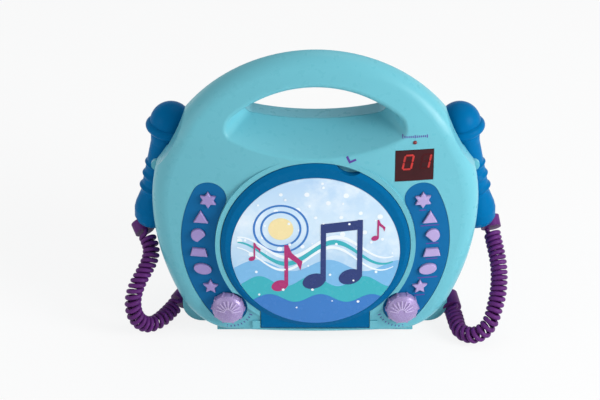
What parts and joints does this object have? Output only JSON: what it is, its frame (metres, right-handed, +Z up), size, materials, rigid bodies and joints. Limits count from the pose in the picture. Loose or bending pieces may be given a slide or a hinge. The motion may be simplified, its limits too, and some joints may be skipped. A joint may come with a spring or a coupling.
{
  "type": "karaoke cd player",
  "caption": "Portable karaoke CD player: domed housing with a grip handle, front disc lid, shaped keys, volume knobs, and a corded microphone clipped to each side.",
  "frame": {"origin": "on the floor under the middle of the player, between the rubber feet", "axes": "+X to the right of someone who faces the lid, +Y to the back, +Z up"},
  "size_m": [0.2955, 0.1026, 0.2378],
  "materials": {
    "body_aqua": "smooth glossy moulded plastic, light aqua",
    "lid_blue": "smooth glossy moulded plastic, mid blue",
    "picture": "printed glossy disc, pale blue with a plain pattern",
    "panel_blue": "smooth satin plastic, mid blue",
    "key_lilac": "satin plastic, pale lilac",
    "knob_lilac": "pearly plastic, pale lilac",
    "mic_blue": "smooth glossy plastic, mid blue",
    "clip_aqua": "smooth plastic, light aqua",
    "cord_purple": "smooth satin cord sleeve, purple",
    "display_red": "dark red see-through window",
    "lamp_red": "clear red lamp",
    "black_plastic": "fine matte black plastic",
    "grey_plastic": "fine matte grey plastic",
    "board_green": "circuit board lacquer, green",
    "steel": "drawn or pressed steel",
    "lens_glass": "clear coated lens",
    "brass": "plated spring brass",
    "rubber_black": "soft matte rubber",
    "paper": "pressed paper cone"
  },
  "bodies": {
    "housing": {"front_shell": "body_aqua", "rear_shell": "body_aqua", "left_panel": "panel_blue", "right_panel": "panel_blue", "left_ornaments": "key_lilac", "left_mic_clip": "clip_aqua", "left_mic_cord": "cord_purple", "left_cord_gland": "cord_purple", "right_mic_clip": "clip_aqua", "right_mic_cord": "cord_purple", "right_cord_gland": "cord_purple", "display_window": "display_red", "program_led": "lamp_red", "display_module": "black_plastic", "volume_pot": "black_plastic", "mic_volume_pot": "black_plastic", "key_switches": "black_plastic", "battery_box": "black_plastic", "dc_jack": "black_plastic", "headphone_jack": "black_plastic", "disc_deck": "grey_plastic", "speaker_grille": "grey_plastic", "key_board": "board_green", "main_board": "board_green", "mech_chassis": "steel", "guide_rods": "steel", "spindle_motor": "steel", "sled_motor": "steel", "speaker_basket": "steel", "shell_screws": "steel", "battery_contacts": "brass", "mech_dampers": "rubber_black", "rubber_feet": "rubber_black", "speaker_cone": "paper"},
    "lid": {"cd_lid": "lid_blue", "lid_picture": "picture"},
    "turntable": {"turntable": "grey_plastic", "turntable_mat": "rubber_black"},
    "sled": {"laser_sled": "black_plastic", "laser_lens": "lens_glass"},
    "sled_gear": {"sled_gear": "black_plastic"},
    "motor_pinion": {"motor_pinion": "steel"},
    "volume_knob": {"volume_knob": "knob_lilac"},
    "mic_volume_knob": {"mic_volume_knob": "knob_lilac"},
    "battery_door": {"battery_door": "body_aqua"},
    "six_point_key": {"six_point_key": "key_lilac"},
    "triangle_key": {"triangle_key": "key_lilac"},
    "pick_key": {"pick_key": "key_lilac"},
    "trapeze_key": {"trapeze_key": "key_lilac"},
    "oval_key": {"oval_key": "key_lilac"},
    "five_point_key": {"five_point_key": "key_lilac"},
    "left_mic": {"left_mic_handle": "mic_blue", "left_mic_head": "mic_blue", "left_mic_ring": "mic_blue", "left_mic_collar": "mic_blue"},
    "right_mic": {"right_mic_handle": "mic_blue", "right_mic_head": "mic_blue", "right_mic_ring": "mic_blue", "right_mic_collar": "mic_blue"}
  },
  "joints": [
    {"name": "lid_hinge", "type": "hinge", "parent": "housing", "child": "lid", "pos_m": [0, -0.04165, 0.01575], "axis": [1, 0, 0], "range_deg": [0, 75]},
    {"name": "turntable_spin", "type": "hinge", "parent": "housing", "child": "turntable", "pos_m": [0, -0.0344, 0.0875], "axis": [0, 1, 0], "continuous": true},
    {"name": "sled_slide", "type": "slide", "parent": "housing", "child": "sled", "axis": [1, 0, 0], "range_m": [0, 0.03]},
    {"name": "sled_gear_spin", "type": "hinge", "parent": "housing", "child": "sled_gear", "pos_m": [0.015, -0.0139, 0.0511], "axis": [0, 1, 0], "range_deg": [-1, 270]},
    {"name": "motor_pinion_spin", "type": "hinge", "parent": "housing", "child": "motor_pinion", "pos_m": [0.002, -0.0139, 0.0511], "axis": [0, 1, 0], "range_deg": [-900, 4]},
    {"name": "six_point_key_press", "type": "slide", "parent": "housing", "child": "six_point_key", "axis": [0, 1, 0], "range_m": [0, 0.0012], "stiffness_N_per_m": 600, "springref_m": -0.0006},
    {"name": "triangle_key_press", "type": "slide", "parent": "housing", "child": "triangle_key", "axis": [0, 1, 0], "range_m": [0, 0.0012], "stiffness_N_per_m": 600, "springref_m": -0.0006},
    {"name": "pick_key_press", "type": "slide", "parent": "housing", "child": "pick_key", "axis": [0, 1, 0], "range_m": [0, 0.0012], "stiffness_N_per_m": 600, "springref_m": -0.0006},
    {"name": "trapeze_key_press", "type": "slide", "parent": "housing", "child": "trapeze_key", "axis": [0, 1, 0], "range_m": [0, 0.0012], "stiffness_N_per_m": 600, "springref_m": -0.0006},
    {"name": "oval_key_press", "type": "slide", "parent": "housing", "child": "oval_key", "axis": [0, 1, 0], "range_m": [0, 0.0012], "stiffness_N_per_m": 600, "springref_m": -0.0006},
    {"name": "five_point_key_press", "type": "slide", "parent": "housing", "child": "five_point_key", "axis": [0, 1, 0], "range_m": [0, 0.0012], "stiffness_N_per_m": 600, "springref_m": -0.0006},
    {"name": "volume_turn", "type": "hinge", "parent": "housing", "child": "volume_knob", "pos_m": [0.0663, -0.04023, 0.032], "axis": [0.1105, -0.9939, 0], "range_deg": [0, 280]},
    {"name": "mic_volume_turn", "type": "hinge", "parent": "housing", "child": "mic_volume_knob", "pos_m": [-0.0663, -0.04023, 0.032], "axis": [-0.1105, -0.9939, 0], "range_deg": [0, 280]},
    {"name": "left_mic_pull", "type": "slide", "parent": "housing", "child": "left_mic", "axis": [-0.9792, 0, 0.2028], "range_m": [0, 0.06], "deforming": ["left_mic_cord"]},
    {"name": "right_mic_pull", "type": "slide", "parent": "housing", "child": "right_mic", "axis": [0.9792, 0, 0.2028], "range_m": [0, 0.06], "deforming": ["right_mic_cord"]},
    {"name": "battery_door_pull", "type": "slide", "parent": "housing", "child": "battery_door", "axis": [0, 1, 0], "range_m": [0, 0.045]}
  ],
  "couplings": [
    {"joint": "sled_gear_spin", "follows": "sled_slide", "rad_per_m": 156.25},
    {"joint": "motor_pinion_spin", "follows": "sled_slide", "rad_per_m": -520.83}
  ]
}
